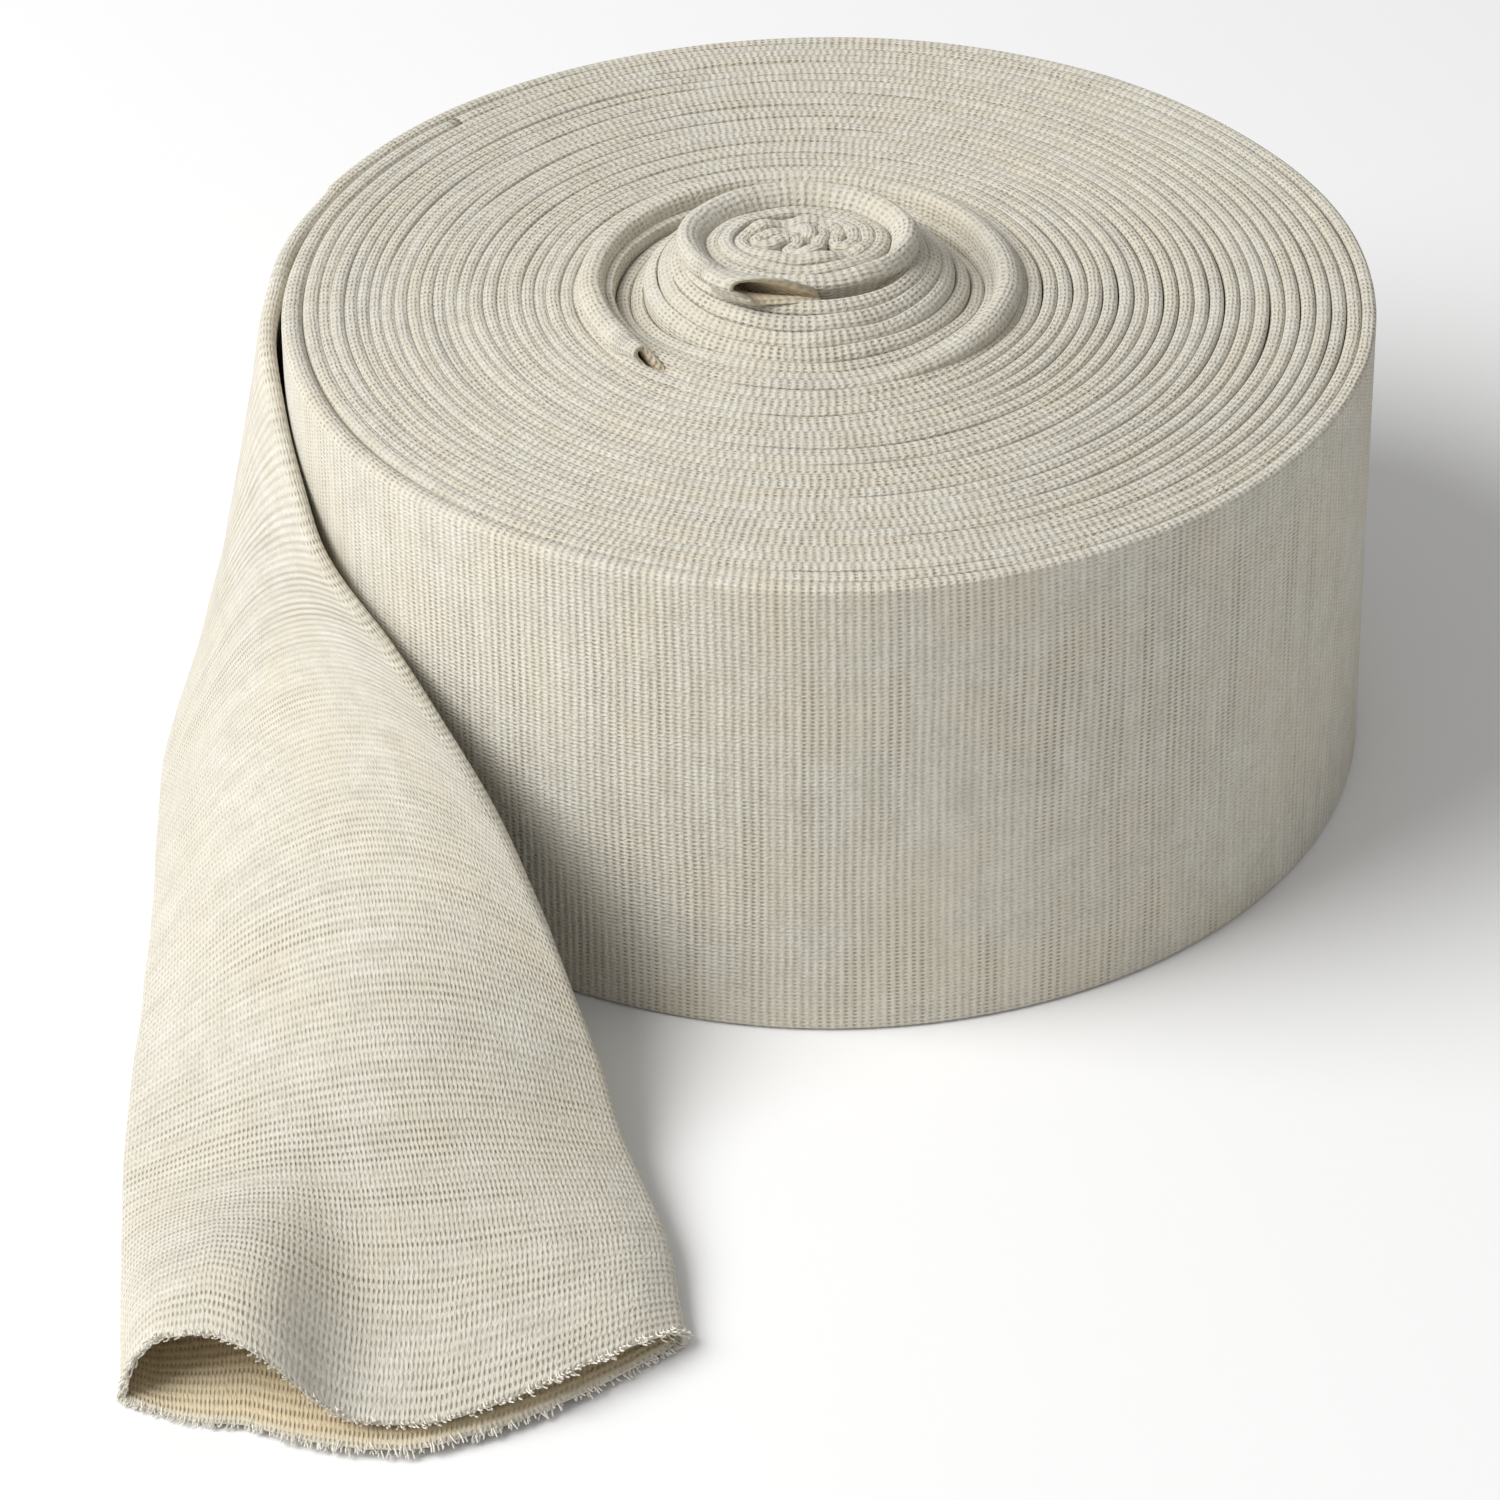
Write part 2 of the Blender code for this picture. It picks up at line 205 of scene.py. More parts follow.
def knit_stitches():
    """The node group of the knit, from a place in metres along and across the tape."""
    group = bpy.data.node_groups.new("knit stitches", "ShaderNodeTree")
    group.interface.new_socket("Place", in_out="INPUT", socket_type="NodeSocketVector")
    group.interface.new_socket("Openness", in_out="INPUT", socket_type="NodeSocketFloat")
    for name in ("Height", "Holes", "Shade", "Warmth"):
        group.interface.new_socket(name, in_out="OUTPUT", socket_type="NodeSocketFloat")
    given = group.nodes.new("NodeGroupInput")
    place = given.outputs["Place"]
    split = group.nodes.new("ShaderNodeSeparateXYZ")
    group.links.new(place, split.inputs[0])

    # The rows and columns wander a little, and a row's stitches sit a little off the next one's.
    bow = number(group, "SUBTRACT", cloud(group, place, 22.0, 2.0), 0.5)
    sway = number(group, "SUBTRACT", cloud(group, place, 60.0, 2.0), 0.5)
    along = number(group, "MULTIPLY_ADD", bow, 0.0016, split.outputs[0])
    across = number(group, "MULTIPLY_ADD", sway, 0.0008, split.outputs[1])
    course = number(group, "DIVIDE", along, COURSE)
    row = number(group, "FLOOR", course)
    chance = group.nodes.new("ShaderNodeTexWhiteNoise")
    chance.noise_dimensions = "1D"
    group.links.new(row, chance.inputs["W"])
    wale = number(group, "MULTIPLY_ADD", chance.outputs[0], 0.18, number(group, "DIVIDE", across, WALE))

    # Each course is a low ridge, each wale a finer one, and a hole lies where both sink.
    ridge = number(group, "SINE", number(group, "MULTIPLY", course, 2 * math.pi))
    rib = number(group, "COSINE", number(group, "MULTIPLY", wale, 2 * math.pi))
    low_course = number(group, "MULTIPLY_ADD", ridge, 0.5, 0.5)
    low_wale = number(group, "MULTIPLY_ADD", rib, 0.5, 0.5)
    pit = ramp(group, number(group, "MULTIPLY", low_course, low_wale), 0.30, 0.90)

    # Some rows and some patches are looser than others.
    row_place = group.nodes.new("ShaderNodeCombineXYZ")
    group.links.new(number(group, "MULTIPLY", row, 0.37), row_place.inputs[0])
    group.links.new(number(group, "MULTIPLY", split.outputs[1], 14.0), row_place.inputs[1])
    row_group = ramp(group, cloud(group, row_place.outputs[0], 1.0, 2.0), 0.36, 0.62)
    patch = ramp(group, cloud(group, place, 30.0, 3.0), 0.36, 0.62)
    loose = number(group, "MULTIPLY_ADD", number(group, "MULTIPLY", row_group, patch), 0.60, 0.40)
    holes = number(group, "MULTIPLY", number(group, "MULTIPLY", pit, loose), given.outputs["Openness"])

    # Uneven yarn: streaks along the courses, cloudy mottling, and fine fibres that stand up.
    streak = cloud(group, stretched(group, place, (850.0, 60.0, 1.0)), 1.0, 2.0)
    mottle = cloud(group, place, 210.0, 3.0)
    fibres = cloud(group, stretched(group, place, (1500.0, 2300.0, 1.0)), 1.0, 3.0)
    shade = number(group, "MULTIPLY", streak, 0.30)
    shade = number(group, "MULTIPLY_ADD", mottle, 0.25, shade)
    shade = number(group, "MULTIPLY_ADD", fibres, 0.45, shade)
    warmth = ramp(group, cloud(group, place, 60.0, 2.0), 0.38, 0.72)
    height = number(group, "MULTIPLY", low_course, -0.30)
    height = number(group, "MULTIPLY_ADD", low_wale, -0.16, height)
    height = number(group, "MULTIPLY_ADD", holes, -0.50, height)
    height = number(group, "MULTIPLY_ADD", fibres, 0.95, height)
    height = number(group, "MULTIPLY_ADD", streak, 0.30, height)

    result = group.nodes.new("NodeGroupOutput")
    for name, value in (("Height", height), ("Holes", holes), ("Shade", shade), ("Warmth", warmth)):
        group.links.new(value, result.inputs[name])
    return group


STITCHES = knit_stitches()


def knit(name, openness, inside_shade_from):
    """A knit material. Past inside_shade_from metres along, the tube's inner side shows, painted darker and
    warmer as the shade and warm bounced light inside the tube.
    """
    made = bpy.data.materials.new(name)
    made.use_nodes = True
    tree = made.node_tree
    shader = tree.nodes["Principled BSDF"]
    shader.inputs["Roughness"].default_value = 0.92
    shader.inputs["Specular IOR Level"].default_value = 0.25
    shader.inputs["Sheen Weight"].default_value = 0.25
    shader.inputs["Sheen Roughness"].default_value = 0.6
    place = tree.nodes.new("ShaderNodeUVMap")
    place.uv_map = "tape"
    stitches = tree.nodes.new("ShaderNodeGroup")
    stitches.node_tree = STITCHES
    tree.links.new(place.outputs[0], stitches.inputs["Place"])
    stitches.inputs["Openness"].default_value = openness
    shade = ramp(tree, stitches.outputs["Shade"], 0.36, 0.62)
    colour = blended(tree, shade, SHADED_CREAM, CREAM)
    colour = blended(tree, number(tree, "MULTIPLY", stitches.outputs["Warmth"], 0.45), colour, WARM_CREAM)
    split = tree.nodes.new("ShaderNodeSeparateXYZ")
    tree.links.new(place.outputs[0], split.inputs[0])
    # Painted shade and bounced light: the tube's inside is coloured a darker, warmer ochre.
    inside_shade = ramp(tree, split.outputs[0], inside_shade_from, inside_shade_from + 0.0020)
    colour = blended(tree, number(tree, "MULTIPLY", inside_shade, 0.75), colour, PAINTED_INSIDE_SHADE)
    # Painted shade: the holes between the stitches are coloured dark, as the shade that falls into them.
    colour = blended(tree, number(tree, "MULTIPLY", stitches.outputs["Holes"], 0.9), colour, PAINTED_HOLE_SHADE)
    tree.links.new(colour, shader.inputs["Base Color"])
    bump = tree.nodes.new("ShaderNodeBump")
    bump.inputs["Distance"].default_value = STITCH_DEPTH
    tree.links.new(stitches.outputs["Height"], bump.inputs["Height"])
    tree.links.new(bump.outputs[0], shader.inputs["Normal"])
    return made


# The winding that all three lengths of tape follow: a spiral that grows by one pressed tape a
# turn. The roll's middle is pushed up into a dome, with a groove round it, and its heart is oval.
TAPE_WIDTH = 0.075        # flat width of the tube, which is the roll's height
PLY_WALL = 0.0010         # one ply of the knit
PITCH = 0.00213           # from one turn to the next
HALF_TURN_WALL = 0.00106  # half of the pressed tape
FOLD_ROUND = 0.00045      # height over which a pressed fold is rounded
ROLL_RADIUS = 0.0832
LAST_TURN_RADIUS = 0.082285
FOOT_FLARE = 0.0020
MIDDLE_RADIUS = 0.0335
CORE_RADIUS = 0.0168
ROLL_END = math.radians(156.0)
MIDDLE_END = math.radians(229.0)
CORE_END = math.radians(287.0)
CROWN_RISE = 0.0100
CROWN_DRIFT = Vector((-0.0030, -0.0012))
GROOVE_DEPTH = 0.0026
GROOVE_RADIUS = 0.0262
GROOVE_REACH = 0.0042
GROOVE_FADES = math.radians(285.0)
HEART_LONG = 0.12         # the heart is longer from side to side
HEART_SHORT = 0.16        # and shorter from back to front
HEART_OUT_TO = 0.021
LOOSE_SIDE = math.radians(200.0)   # the side where the outer two turns are slack
SLACK = 0.0011
TURN_WANDER = 0.00026
TURN_UNEVEN = 0.00045
FULL_TURN = 2 * math.pi
LAST_ANGLE = FULL_TURN * LAST_TURN_RADIUS / PITCH
PHASE = ROLL_END - LAST_ANGLE

# Height of the turns' upper edges: radius as a share of MIDDLE_RADIUS, share of CROWN_RISE.
CROWN = ((0.00, 0.95), (0.30, 0.95), (0.39, 0.84), (0.51, 0.70), (0.63, 0.45), (0.75, 0.20),
         (0.90, 0.18), (1.00, 0.12), (1.50, 0.04), (1.95, 0.00))


def between(rows, place):
    """Read a table of (place, value) rows, straight between its rows."""
    if place <= rows[0][0]:
        return rows[0][1]
    for (low, first), (high, second) in zip(rows, rows[1:]):
        if place <= high:
            return first + (second - first) * (place - low) / (high - low)
    return rows[-1][1]


def eased(share):
    """A smooth step from 0 to 1."""
    share = min(max(share, 0.0), 1.0)
    return share * share * (3 - 2 * share)


def turn_radius(angle):
    return PITCH * angle / FULL_TURN


def angle_ending(radius, direction):
    """The last angle of the winding that has this direction and stays inside a radius."""
    limit = FULL_TURN * (radius - HALF_TURN_WALL) / PITCH
    return limit - (limit + PHASE - direction) % FULL_TURN


def settled(angle):
    """1 inside the winding, falling to 0 where the free end leaves it."""
    return eased((LAST_ANGLE - angle) / 0.6)


def slackness(angle):
    """How slack the outer two turns are, from 0 to 1."""
    side = max(0.0, math.cos(angle + PHASE - LOOSE_SIDE))
    turns_in = (LAST_ANGLE - angle) / FULL_TURN
    return side * eased(2.6 - turns_in)


def crown_slope(angle):
    """How steeply the dome rises outwards at a turn."""
    radius = turn_radius(angle)
    outer = between(CROWN, (radius + PITCH) / MIDDLE_RADIUS)
    inner = between(CROWN, (radius - PITCH) / MIDDLE_RADIUS)
    return CROWN_RISE * (outer - inner) / (2 * PITCH)


def turn_top(angle):
    """Height of a turn's upper edge."""
    radius = turn_radius(angle)
    direction = angle + PHASE
    crown = CROWN_RISE * between(CROWN, radius / MIDDLE_RADIUS)
    sunk = eased(1 - abs(radius - GROOVE_RADIUS) / GROOVE_REACH)
    groove = GROOVE_DEPTH * sunk * eased(0.8 - 0.8 * math.cos(direction - GROOVE_FADES))
    around = Vector((1.9 * math.cos(direction), 1.9 * math.sin(direction), 0.71 * angle / FULL_TURN))
    uneven = noise.noise(around)
    return TAPE_WIDTH + crown - groove + TURN_UNEVEN * uneven * settled(angle)


def on_turn(angle, across, height):
    """A point of the winding: across is measured outwards from the middle of the wall."""
    radius = turn_radius(angle)
    direction = angle + PHASE
    turns_in = (LAST_ANGLE - angle) / FULL_TURN
    inwards = min(turns_in, 2.0) - 2.0 * min(max((turns_in - 2.0) / 18.0, 0.0), 1.0)
    shift = -SLACK * inwards * max(0.0, math.cos(direction - LOOSE_SIDE)) * eased(turns_in)
    around = Vector((2.3 * math.cos(direction), 2.3 * math.sin(direction), 0.9 * angle / FULL_TURN))
    wander = noise.noise(around)
    flare = FOOT_FLARE * max(0.0, 1 - height / TAPE_WIDTH) * radius / ROLL_RADIUS
    reach = radius + across + shift + TURN_WANDER * wander * settled(angle) + flare
    oval = 1 - eased((radius - 0.4 * HEART_OUT_TO) / (0.6 * HEART_OUT_TO))
    drift = min(1.0, (ROLL_RADIUS - radius) / (ROLL_RADIUS - MIDDLE_RADIUS)) * height / TAPE_WIDTH
    return Vector((CROWN_DRIFT.x * drift + reach * math.cos(direction) * (1 + HEART_LONG * oval),
                   CROWN_DRIFT.y * drift + reach * math.sin(direction) * (1 - HEART_SHORT * oval), height))


# Places across a ply, from its lower fold to its upper one, closer together at the folds.
FOLD_STEPS = (0.0, 0.00005, 0.00018, 0.00045, 0.0012)
FINE_FOLD_STEPS = (0.0, 0.00007, 0.00025, 0.0006, 0.0011, 0.0018, 0.0028, 0.0042, 0.0060)


def ply_places(fold_steps, middle_count):
    low, high = fold_steps[-1], TAPE_WIDTH - fold_steps[-1]
    middle = [low + (high - low) * index / (middle_count + 1) for index in range(1, middle_count + 1)]
    return [*fold_steps, *middle, *(TAPE_WIDTH - step for step in reversed(fold_steps))]


def roundness(distance, reach):
    """How thick the tape is at a distance from its fold, from 0 to 1."""
    share = min(distance / reach, 1.0)
    return math.sqrt(1 - (1 - share) ** 2)


BENT_LENGTH = 0.0058      # width of the tape that bends over where a turn stands proud


def pressed_section(places, top, half, slope=0.0, bend=0.0, bent_length=BENT_LENGTH, plump=0.0, wall=0.0):
    """The tape's section in a turn, as (across, height) up its outer ply and down its inner one.

    Its upper edge follows the dome's slope, or its upper part is bent outwards and plumped up.
    With a wall, it is the section of the inside.
    """
    steps = 12
    outer, inner = [], []
    rise = sum(math.cos(bend * eased((step + 0.5) / steps)) for step in range(steps)) * bent_length / steps
    for place in places:
        place = wall + place * (TAPE_WIDTH - 2 * wall) / TAPE_WIDTH
        from_top = TAPE_WIDTH - place
        if from_top > bent_length:
            middle = Vector((0.0, (top - rise) * place / (TAPE_WIDTH - bent_length)))
            lean = 0.0
        else:
            middle = Vector((0.0, top - rise))
            share = 1 - from_top / bent_length
            lean = bend * eased(share)
            for step in range(steps):
                at = bend * eased((step + 0.5) / steps * share)
                middle += Vector((math.sin(at), math.cos(at))) * bent_length * share / steps
        swelling = plump * eased((0.0075 - from_top) / 0.0045)
        reach = FOLD_ROUND + 1.1 * swelling + 1.5 * (half - HALF_TURN_WALL)
        fold = roundness(from_top - wall, reach) * roundness(place - wall, FOLD_ROUND)
        thickness = max((half + swelling) - wall, 0.00008) * fold
        outwards = Vector((math.cos(lean), -math.sin(lean)))
        tilt = Vector((0.0, slope * thickness * eased((0.006 - from_top) / 0.005)))
        outer.append(middle + outwards * thickness + tilt)
        inner.append(middle - outwards * thickness - tilt)
    return outer + inner[-2:0:-1]


def tube_mesh(name, rings, lengths, material):
    """A closed skin through the rings, with metres along and across the tape as its UV map."""
    count = len(rings[0])
    across = [0.0]
    for here in range(count):
        across.append(across[-1] + (rings[0][(here + 1) % count] - rings[0][here]).length)
    mesh = bmesh.new()
    bmesh.ops.create_grid(mesh, x_segments=len(rings) - 1, y_segments=count, size=0.5)
    spots = {}
    for vert in mesh.verts:
        ring = round((vert.co.x + 0.5) * (len(rings) - 1))
        spots[vert] = (ring, round((vert.co.y + 0.5) * count))
    by_spot = {spot: vert for vert, spot in spots.items()}
    tape = mesh.loops.layers.uv.new("tape")
    for face in mesh.faces:
        for corner in face.loops:
            ring, column = spots[corner.vert]
            corner[tape].uv = (lengths[ring], across[column])
    for vert, (ring, column) in spots.items():
        vert.co = rings[ring][column % count]
    ends = [[by_spot[ring, column] for column in range(count)] for ring in (0, len(rings) - 1)]
    welded = {by_spot[ring, count]: by_spot[ring, 0] for ring in range(len(rings))}
    bmesh.ops.weld_verts(mesh, targetmap=welded)
    for face in mesh.faces:
        face.smooth = True
    for end in ends:
        edges = [mesh.edges.get((end[here], end[(here + 1) % count])) for here in range(count)]
        cap = bmesh.ops.contextual_create(mesh, geom=edges)["faces"]
        for face in bmesh.ops.triangulate(mesh, faces=cap)["faces"]:
            face.smooth = False
    if mesh.calc_volume(signed=True) < 0:
        bmesh.ops.reverse_faces(mesh, faces=mesh.faces[:])
    data = bpy.data.meshes.new(name)
    mesh.to_mesh(data)
    mesh.free()
    data.materials.append(material)
    piece = bpy.data.objects.new(name, data)
    bpy.context.scene.collection.objects.link(piece)
    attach(piece, "root")
    return piece


LIP_STEPS = 6             # steps round a cut edge
LIP_STEP = 0.0004         # length of knit in each of them
LIP_ROUND = 0.0006


def lip(outside, inside, before, spread):
    """Rings that carry a cut edge round from the tape's outer side to its inner side."""
    rings = []
    for step in range(1, LIP_STEPS):
        turn = math.pi * step / LIP_STEPS
        ring = []
        for column, (outer, inner) in enumerate(zip(outside, inside)):
            along = (outer - before[column]).normalized()
            fray = 1 + 0.35 * noise.noise(outer * 1300.0)
            ring.append(outer.lerp(inner, (1 - math.cos(turn)) / 2) + along * math.sin(turn) * spread * fray)
        rings.append(ring)
    return rings


# The first length, about a third of a metre of the tube. It was crumpled into a wad by hand and
# then wound, so its heart is a tangle of small folds. Its last turn lies over the dome as a
# plump fold and ends in a slanting cut that gapes.
HEART_FOLDS = (           # route of the crumpled start, in millimetres from the heart's middle
    (0.9, -0.6), (1.3, 1.0), (0.6, 2.6), (-1.0, 3.2), (-3.0, 2.6), (-4.9, 1.8), (-6.4, 0.7),
    (-6.2, -0.9), (-4.5, -1.2), (-2.9, 0.1), (-1.2, 0.6), (-0.6, -0.9), (-1.7, -2.4), (-1.0, -3.9),
    (0.8, -4.1), (2.2, -3.0), (2.7, -1.2), (3.2, 0.8), (3.1, 2.6), (4.5, 3.3), (5.6, 2.1),
    (5.2, 0.6), (5.0, -1.2), (6.2, -2.3), (7.6, -1.0), (8.0, 1.0), (7.0, 3.2), (4.8, 5.0),
    (1.8, 5.6), (-1.4, 5.5), (-4.6, 4.7), (-7.4, 3.0), (-8.9, 0.6), (-8.5, -2.2), (-6.3, -4.2),
    (-3.4, -5.6), (0.0, -6.4), (3.6, -6.1), (6.9, -4.8), (9.4, -2.4))
HEART_JOIN_RADIUS = 0.0092
CORE_SLANT = 0.0100       # how much sooner the fold's edge is cut than the rest
SLANT_REACH = 0.0090      # width of the tape over which the cut slants
SHORT_PLY = 0.0022        # the ply on top is cut back by this much more
CORE_PLUMP = 0.0006
CORE_BEND = math.radians(72.0)
FLAP_BEND = math.radians(30.0)     # further than that at the cut end, where the tape flops over
FLAP_LENGTH = 0.0040      # how much wider the bent part is at the cut end
FLAP_ENDING = 0.017       # length over which the flap widens
CORE_PROUD = 0.0014
HEART_HALF = 0.00125      # half of the crumpled tape
CUT_HOLLOW = 0.010        # how far the cut ends are open inside
HOLLOW_STEP = 0.0012
STEP_ALONG = 0.0010


def smooth_line(points, count):
    """Places on the smooth curve through a list of points, count for each stretch."""
    padded = [2 * points[0] - points[1], *points, 2 * points[-1] - points[-2]]
    line = []
    for before, first, second, after in zip(padded, padded[1:], padded[2:], padded[3:]):
        for step in range(count):
            share = step / count
            line.append(0.5 * (2 * first + (second - before) * share
                               + (2 * before - 5 * first + 4 * second - after) * share ** 2
                               + (3 * first - before - 3 * second + after) * share ** 3))
    return line + [points[-1]]


def heart_rings(places, join_angle):
    """Rings along the crumpled start, which runs into the winding."""
    route = [Vector(point) / 1000 for point in HEART_FOLDS]
    for turned in (0.0, 0.14, 0.28):
        spot = on_turn(join_angle + turned, 0.0, 0.0)
        route.append(Vector((spot.x, spot.y)))
    line = smooth_line(route, 3)[:-7]
    rings, lengths = [], [0.0]
    for index, spot in enumerate(line):
        after, before = line[min(index + 1, len(line) - 1)], line[max(index - 1, 0)]
        forward = (after - before).normalized()
        outwards = Vector((forward.y, -forward.x))
        if index:
            lengths.append(lengths[-1] + (spot - line[index - 1]).length)
        top = turn_top(join_angle) + 0.0011 * noise.noise(Vector((spot.x * 260, spot.y * 260, 3.1)))
        ring = []
        for across, height in pressed_section(places, top, HEART_HALF):
            centre = spot + CROWN_DRIFT * height / TAPE_WIDTH + outwards * across
            ring.append(Vector((*centre, height)))
        rings.append(ring)
    return rings, lengths


def wound_rings(places, angles, section):
    """Rings along the winding; section gives each angle's section."""
    rings, lengths, last = [], [], None
    for angle in angles:
        radius = turn_radius(angle)
        lengths.append(0.0 if last is None else lengths[-1] + (angle - last) * radius)
        last = angle
        rings.append([on_turn(angle, across, height) for across, height in section(places, angle)])
    return rings, lengths


def winding_angles(start, end, step):
    """Angles a given distance apart along the winding."""
    angles = [start]
    while angles[-1] < end:
        angles.append(min(angles[-1] + step / turn_radius(angles[-1]), end))
    return angles


def cut_end(rings, lengths, places, angles, section, slant, reach, short_ply):
    """Slant the last rings of a length back at its fold, and add the cut's lip and its inside."""
    end = angles[-1]
    radius = turn_radius(end)

    def slanted(angle, wall):
        share = eased(1 - (end - angle) * radius / (2.2 * slant))
        ring = []
        for column, (across, height) in enumerate(section(places, angle, wall)):
            on_top = column >= len(places)
            place = places[2 * len(places) - 2 - column] if on_top else places[column]
            edge = eased(1 - (TAPE_WIDTH - place) / reach)
            back = share * edge * (slant + (short_ply if on_top else 0.0))
            ring.append(on_turn(angle - back / radius, across, height))
        return ring

    for index in range(1, len(angles) + 1):
        if end - angles[-index] < 2.3 * slant / radius:
            rings[-index] = slanted(angles[-index], 0.0)
    hollow = winding_angles(end - CUT_HOLLOW / radius, end, HOLLOW_STEP)[::-1]
    inside = [slanted(angle, PLY_WALL) for angle in hollow]
    cut = lengths[-1]
    rings += lip(rings[-1], inside[0], rings[-2], LIP_ROUND) + inside
    lengths += [cut + LIP_STEP * step for step in range(1, LIP_STEPS)]
    lengths += [cut + LIP_STEP * LIP_STEPS + (end - angle) * radius for angle in hollow]


def core_length():
    places = ply_places(FINE_FOLD_STEPS, 8)
    end = angle_ending(CORE_RADIUS, CORE_END)
    join = FULL_TURN * HEART_JOIN_RADIUS / PITCH
    join -= (join + PHASE) % FULL_TURN
    rings, lengths = heart_rings(places, join)
    proud_from = end - 1.15 * FULL_TURN

    def proud(angle):
        return eased((angle - proud_from) / (0.45 * FULL_TURN))

    def section(places, angle, wall=0.0):
        share = proud(angle)
        ending = eased(1 - (end - angle) * turn_radius(end) / FLAP_ENDING)
        bend = CORE_BEND * share + FLAP_BEND * ending
        return pressed_section(places, turn_top(angle) + CORE_PROUD * share, HALF_TURN_WALL,
                               crown_slope(angle) * (1 - share), bend, BENT_LENGTH + FLAP_LENGTH * ending,
                               CORE_PLUMP * (share + 0.6 * ending), wall)

    angles = winding_angles(join + 0.14, end, STEP_ALONG)
    wound, more = wound_rings(places, angles, section)
    gap = (wound[0][0] - rings[-1][0]).length
    rings += wound
    lengths += [lengths[-1] + gap + length for length in more]
    cut = lengths[-1]
    cut_end(rings, lengths, places, angles, section, CORE_SLANT, SLANT_REACH, SHORT_PLY)
    piece = tube_mesh("core_length", rings, lengths, knit("first length's knit", 0.7, cut))
    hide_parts("core_coil")


core_length()


# The second length. Its last turn stands proud of the roll round the groove, as a plump upright
# fold, tucked in at its start, and ends in an open cut end.
MIDDLE_PLUMP = 0.0010
MIDDLE_BEND = math.radians(20.0)
MIDDLE_PROUD = 0.0017
START_TUCKED = 0.0050     # how far its start lies below the turns beside it
END_SLANT = 0.0045
END_REACH = 0.0045
PINCH_LENGTH = 0.007      # the fold is pressed flatter along this much of its end


def middle_length():
    places = ply_places(FINE_FOLD_STEPS, 6)
    start = angle_ending(CORE_RADIUS, CORE_END) + 0.05
    end = angle_ending(MIDDLE_RADIUS, MIDDLE_END)

    def section(places, angle, wall=0.0):
        share = eased((angle - end + 0.86 * FULL_TURN) / (0.16 * FULL_TURN))
        tucked = START_TUCKED * eased(1 - (angle - start) / 0.9)
        pinched = eased((end - angle) * MIDDLE_RADIUS / PINCH_LENGTH)
        return pressed_section(places, turn_top(angle) + MIDDLE_PROUD * share - tucked, HALF_TURN_WALL,
                               crown_slope(angle) * (1 - share), MIDDLE_BEND * share, BENT_LENGTH,
                               MIDDLE_PLUMP * share * (0.3 + 0.7 * pinched), wall)

    angles = winding_angles(start, end, STEP_ALONG)
    rings, lengths = wound_rings(places, angles, section)
    cut = lengths[-1]
    cut_end(rings, lengths, places, angles, section, END_SLANT, END_REACH, 0.0)
    piece = tube_mesh("middle_length", rings, lengths, knit("second length's knit", 0.8, cut))
    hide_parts("middle_coil")


middle_length()


# The main length's inner turns, pressed on each other. The last turn and the free end are the
# same tape, made next in a finer mesh that meets this one under the last turn.
INNER_TURNS_END = LAST_ANGLE - FULL_TURN - 0.35
INNER_STEP = 0.0026
NEVER = 100.0             # no painted inside shade shows on these turns


def turn_half(angle):
    """Half of the tape's thickness, more where the outer turns are slack."""
    return HALF_TURN_WALL + 0.5 * SLACK * slackness(angle)


def plain_section(places, angle):
    return pressed_section(places, turn_top(angle), turn_half(angle), crown_slope(angle))


def inner_turns():
    places = ply_places(FOLD_STEPS, 1)
    start = angle_ending(MIDDLE_RADIUS, MIDDLE_END) + 0.03
    angles = winding_angles(start, INNER_TURNS_END, INNER_STEP)
    rings, lengths = wound_rings(places, angles, plain_section)
    piece = tube_mesh("main_length_inner_turns", rings, lengths, knit("main length's knit", 0.8, NEVER))
    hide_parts("outer_coil")
    return lengths[-1]


inner_length = inner_turns()


# The main length's last turn and its free end. The tape leaves the roll standing on its edge,
# twists down as it comes forward and lies flat at its mouth, where the cut rim curls and gapes.
TAIL_LENGTH = 0.196
TAIL_HALF = 0.00125
MOUTH_RISE = 0.0105
MOUTH_DEPTH = 0.045
TAIL_ROWS = (             # way round, way out and height of three lines along it
    ((0.000, 0.000, 0.00), (0.000, 0.000, 0.50), (0.000, 0.000, 1.00)),
    ((0.068, 0.026, 0.00), (0.080, 0.012, 0.50), (0.105, 0.001, 0.99)),
    ((0.137, 0.067, 0.00), (0.158, 0.037, 0.49), (0.222, 0.002, 0.92)),
    ((0.221, 0.104, 0.00), (0.252, 0.038, 0.46), (0.372, 0.007, 0.77)),
    ((0.303, 0.126, 0.00), (0.345, 0.038, 0.44), (0.496, 0.014, 0.65)),
    ((0.379, 0.162, 0.00), (0.434, 0.060, 0.42), (0.582, 0.038, 0.53)),
    ((0.443, 0.215, 0.00), (0.509, 0.100, 0.36), (0.645, 0.074, 0.38)),
    ((0.495, 0.282, 0.00), (0.572, 0.172, 0.27), (0.691, 0.117, 0.21)),
    ((0.539, 0.358, 0.00), (0.622, 0.260, 0.17), (0.726, 0.178, 0.09)),
    ((0.576, 0.437, 0.00), (0.664, 0.362, 0.09), (0.758, 0.256, 0.04)),
    ((0.608, 0.521, 0.00), (0.693, 0.512, 0.03), (0.776, 0.343, 0.02)),
)
LAST_ROW = len(TAIL_ROWS) - 1
